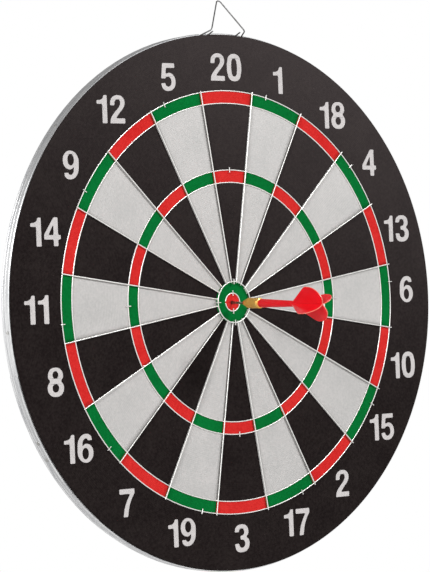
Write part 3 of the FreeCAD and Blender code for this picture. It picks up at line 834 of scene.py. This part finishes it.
nose = [(BARREL_START, 0), (BARREL_START, 1.5 * MM), (BARREL_START + 0.4 * MM, 1.9 * MM)]
cone_end = BARREL_START + NOSE_CONE
grip_end = BARREL_END - COLLAR
grip_line = [(cone_end + (grip_end - cone_end) * row / GRIP_ROWS, GRIP) for row in range(GRIP_ROWS + 1)]
collar = [(grip_end + 0.25 * MM, GRIP - 0.45 * MM), (grip_end + 0.5 * MM, GRIP - 0.45 * MM),
          (grip_end + 0.7 * MM, GRIP - 0.05 * MM), (BARREL_END - 0.2 * MM, GRIP - 0.05 * MM),
          (BARREL_END, GRIP - 0.3 * MM), (BARREL_END, 0)]
turned = [(x, y, 0) for x, y in nose + grip_line + collar]
barrel_mesh = lathe(turned, steps=108, axis=(1, 0, 0), closed=False)
for vertex in barrel_mesh.verts:
    reach = math.hypot(vertex.co.y, vertex.co.z)
    if cone_end + 0.2 * MM < vertex.co.x < grip_end - 0.1 * MM and reach > GRIP * 0.98:
        depth = KNURL_DEPTH * knurl(math.atan2(vertex.co.z, vertex.co.y), vertex.co.x)
        vertex.co.y *= 1 - depth / reach
        vertex.co.z *= 1 - depth / reach
bmesh.ops.transform(barrel_mesh, matrix=TO_DART, verts=barrel_mesh.verts)
bmesh.ops.recalc_face_normals(barrel_mesh, faces=barrel_mesh.faces)

brass = Finish("knurled_brass", Metallic=0.75)
tarnish = brass.noise(260, detail=4)
brass.paint(brass.remap(tarnish, 0.3, 0.7, 0, 1), linear(255, 208, 112), linear(250, 186, 88))
brass.dull(tarnish, 0.3, 0.7, 0.28, 0.44)
brass.bump(brass.noise(1600, detail=2), 0.03 * MM, 0.5)
barrel = add_piece("knurled_barrel", barrel_mesh, brass.material, body="dart")
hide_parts("dart_barrel")

# %% [markdown]
# Stem and flight are one glossy moulding. The stem is spun. Each vane is a leaf, filled from its outline,
# given a thickness that a bevel rounds off, and set at a quarter turn from the last. The stem is the
# thickest part, so its red is the deepest. The rounded edges of the vanes have a paler red of their own,
# a painted highlight where the light catches them.

# %% Red stem
FLIGHT_START = 75.4 * MM
FLIGHT_END = FLIGHT_REAR - 1.7 * MM


def moulded(name, deep, bright):
    """Glossy, slightly cloudy red plastic between two shades."""
    finish = Finish(name, Roughness=0.24, IOR=1.49, Subsurface_Weight=0.12, Subsurface_Scale=0.003,
                    Coat_Weight=0.15, Coat_Roughness=0.15)
    finish.shader.inputs["Subsurface Radius"].default_value = (1.0, 0.12, 0.1)
    blush = finish.noise(90, detail=2)
    finish.paint(finish.remap(blush, 0.3, 0.7, 0, 1), deep, bright)
    finish.bump(finish.noise(160, detail=2), 0.12 * MM, 0.2)
    return finish.material


RED_PLASTIC = moulded("red_plastic", linear(246, 10, 28), linear(255, 20, 38))
STEM_RED = moulded("red_plastic_stem", linear(228, 5, 20), linear(240, 10, 28))
# Painted highlight: a paler red for the vanes' rounded edges, where the light catches them.
PAINTED_EDGE_HIGHLIGHT = moulded("red_plastic_painted_highlight", linear(244, 104, 90), linear(250, 132, 114))
stem_line = [
    (BARREL_END + 0.02 * MM, 0), (BARREL_END + 0.02 * MM, 2.95 * MM), (BARREL_END + 0.2 * MM, 3.3 * MM),
    (BARREL_END + 0.7 * MM, 3.52 * MM), (BARREL_END + 2 * MM, 3.5 * MM), (52 * MM, 3.13 * MM),
    (FLIGHT_START, 2.42 * MM), (FLIGHT_START + 2 * MM, 1.9 * MM), (FLIGHT_START + 5 * MM, 1.25 * MM),
    (FLIGHT_START + 10 * MM, 1.1 * MM), (FLIGHT_END - 3.4 * MM, 1.0 * MM), (FLIGHT_END - 2.6 * MM, 0.7 * MM),
    (FLIGHT_END - 2.4 * MM, 0),
]
stem_mesh = lathe([(x, y, 0) for x, y in stem_line], steps=40, axis=(1, 0, 0), closed=False)
bmesh.ops.transform(stem_mesh, matrix=TO_DART, verts=stem_mesh.verts)
bmesh.ops.recalc_face_normals(stem_mesh, faces=stem_mesh.faces)
stem = add_piece("dart_stem", stem_mesh, STEM_RED, body="dart")
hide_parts("dart_stem_flight")

# %% Four vanes
VANE_TILT = math.radians(28)
VANE = 0.8 * MM
VANE_ROUNDING = 0.22 * MM
CORNER = 1.2
FLAT = 0.99


def bend(start, end, radius, count):
    """Points on an arc from one point to another; it bulges away from the dart's axis."""
    start, end = Vector(start), Vector(end)
    middle, chord = (start + end) / 2, end - start
    normal = Vector((-chord.y, chord.x)).normalized()
    centre = middle - normal * math.sqrt(radius ** 2 - (chord.length / 2) ** 2)
    first = math.atan2(start.y - centre.y, start.x - centre.x)
    last = math.atan2(end.y - centre.y, end.x - centre.x)
    angles = [first + (last - first) * index / count for index in range(count + 1)]
    return [(centre.x + radius * math.cos(angle), centre.y + radius * math.sin(angle)) for angle in angles]


def leaf_outline():
    """The vane's edge from the stem, out along the straight front, round the tip and back."""
    start, end, rear = FLIGHT_START / MM, FLIGHT_END / MM, FLIGHT_REAR / MM
    shoulder, crown, heel, tail = (95.5, 14.5), (101.0, 15.3), (rear, 6.5), (end, 1.1)
    points = [(start, 0.3), (start, 1.4)]
    points += bend(shoulder, crown, radius=8, count=6)
    points += bend(crown, heel, radius=12, count=12)[1:]
    points += bend(heel, tail, radius=8, count=5)[1:]
    points += [(end, 0.3)]
    return [(x * MM, y * MM) for x, y in points]


vane_mesh = bmesh.new()
vane_normals = []
for quarter in range(4):
    tilt = Matrix.Rotation(VANE_TILT + quarter * math.pi / 2, 4, "X")
    corners = [vane_mesh.verts.new(tilt @ Vector((x, y, 0))) for x, y in leaf_outline()]
    vane_mesh.faces.new(corners)
    vane_normals.append((tilt @ Vector((0, 1, 0)), tilt @ Vector((0, 0, 1))))
bmesh.ops.recalc_face_normals(vane_mesh, faces=vane_mesh.faces)
bmesh.ops.solidify(vane_mesh, geom=vane_mesh.faces[:], thickness=VANE)
for outward, normal in vane_normals:
    leaf = [vertex for vertex in vane_mesh.verts
            if vertex.co.dot(outward) > 0.2 * MM and abs(vertex.co.dot(normal)) < 1.1 * VANE]
    spots = [vertex.co.dot(normal) for vertex in leaf]
    bmesh.ops.translate(vane_mesh, verts=leaf, vec=normal * -(min(spots) + max(spots)) / 2)
bmesh.ops.recalc_face_normals(vane_mesh, faces=vane_mesh.faces)
rims = [edge for edge in vane_mesh.edges if edge.is_manifold and edge.calc_face_angle(0) > CORNER]
bmesh.ops.bevel(vane_mesh, geom=rims, offset=VANE_ROUNDING, offset_type="OFFSET", affect="EDGES", segments=2,
                profile=0.5, material=-1)
# Flat sides keep the red; the rounded rims take the painted highlight in the second slot.
for face in vane_mesh.faces:
    flatness = max(abs(face.normal.dot(normal)) for _, normal in vane_normals)
    face.material_index = 0 if flatness > FLAT else 1
bmesh.ops.transform(vane_mesh, matrix=TO_DART, verts=vane_mesh.verts)
bmesh.ops.recalc_face_normals(vane_mesh, faces=vane_mesh.faces)
vanes = add_piece("dart_vanes", vane_mesh, RED_PLASTIC, body="dart", smooth=False)
vanes.data.materials.append(PAINTED_EDGE_HIGHLIGHT)

# %% [markdown]
# The room is plain white to the camera, and a good deal dimmer as light, so that the lamps' small shadows
# still show beside the wires. Metal needs something to mirror, so the room that it reflects is bright at
# eye level and darker towards floor and ceiling.

# %% White room
scene = bpy.context.scene
scene.view_settings.view_transform = "Standard"
ROOM_LIGHT = 0.42
world = bpy.data.worlds.new("white_room")
world.use_nodes = True
scene.world = world
nodes, links = world.node_tree.nodes, world.node_tree.links
nodes.clear()


def room(strength):
    """A white background of one strength, given as a number or as a node's output."""
    background = nodes.new("ShaderNodeBackground")
    background.inputs["Color"].default_value = (1, 1, 1, 1)
    if isinstance(strength, float):
        background.inputs["Strength"].default_value = strength
    else:
        links.new(strength, background.inputs["Strength"])
    return background.outputs[0]


def choose(factor, otherwise, chosen):
    """One background, or another where the factor is 1."""
    switch = nodes.new("ShaderNodeMixShader")
    links.new(factor, switch.inputs["Fac"])
    links.new(otherwise, switch.inputs[1])
    links.new(chosen, switch.inputs[2])
    return switch.outputs[0]


direction = nodes.new("ShaderNodeSeparateXYZ")
links.new(nodes.new("ShaderNodeTexCoord").outputs["Generated"], direction.inputs[0])
height = nodes.new("ShaderNodeMath")
height.operation = "ABSOLUTE"
links.new(direction.outputs["Z"], height.inputs[0])
mirrored = nodes.new("ShaderNodeMapRange")
links.new(height.outputs[0], mirrored.inputs["Value"])
for socket, number in (("From Min", 0.25), ("From Max", 0.6), ("To Min", 0.95), ("To Max", 0.32)):
    mirrored.inputs[socket].default_value = number
path = nodes.new("ShaderNodeLightPath")
output = nodes.new("ShaderNodeOutputWorld")
lit = choose(path.outputs["Is Glossy Ray"], room(ROOM_LIGHT), room(mirrored.outputs["Result"]))
links.new(choose(path.outputs["Is Camera Ray"], lit, room(1.0)), output.inputs["Surface"])
print("room", ROOM_LIGHT, "as light")

# %% [markdown]
# Two round soft lamps point at the board's middle: one at the upper right, and a wider one at the left
# that brightens the rim and the dart from the side and barely reaches the face. The floor is a pale disc.

# %% Lamps and floor
FLOOR_DROP = 0.32
FLOOR_RADIUS = 1.6


def add_lamp(name, place, size, power):
    light = bpy.data.lights.new(name, "AREA")
    light.shape = "DISK"
    light.size = size
    light.energy = power
    lamp = bpy.data.objects.new(name, light)
    lamp.location = place
    lamp.rotation_euler = (-Vector(place)).to_track_quat("-Z", "Y").to_euler()
    scene.collection.objects.link(lamp)


add_lamp("key_lamp", (1.06, -2.66, 1.44), size=0.45, power=43)
add_lamp("side_lamp", (-2.35, -1.15, 1.05), size=0.8, power=34)

floor_mesh = bmesh.new()
bmesh.ops.create_circle(floor_mesh, cap_ends=True, segments=96, radius=FLOOR_RADIUS,
                        matrix=Matrix.Translation((0, 0, cad_bounds[0][2] - FLOOR_DROP)))
floor = to_object("floor", floor_mesh)
pale = Finish("pale_floor", Roughness=0.8)
pale.paint(pale.noise(3), linear(236, 236, 236), linear(242, 242, 242))
floor.data.materials.append(pale.material)
print("floor", FLOOR_DROP, "m below the board")

# %% [markdown]
# The camera stands to the player's left at the board's height, and leans a little. A long lens keeps
# the far side nearly as tall as the near one.

# %% Camera
CAMERA_PLACE = Vector((-1.3301, -1.6494, 0.0050))
CAMERA_AIM = Vector((-0.0118, -0.0043, 0.0135))
CAMERA_LEAN = math.radians(-2.214)
camera_data = bpy.data.cameras.new("camera")
camera_data.lens = 164.15
camera_data.sensor_width = 36
camera = bpy.data.objects.new("camera", camera_data)
look = (CAMERA_AIM - CAMERA_PLACE).to_track_quat("-Z", "Y").to_matrix().to_4x4()
camera.matrix_world = Matrix.Translation(CAMERA_PLACE) @ look @ Matrix.Rotation(CAMERA_LEAN, 4, "Z")
scene.collection.objects.link(camera)
scene.camera = camera
print("camera", round((CAMERA_AIM - CAMERA_PLACE).length, 2), "m from the board")
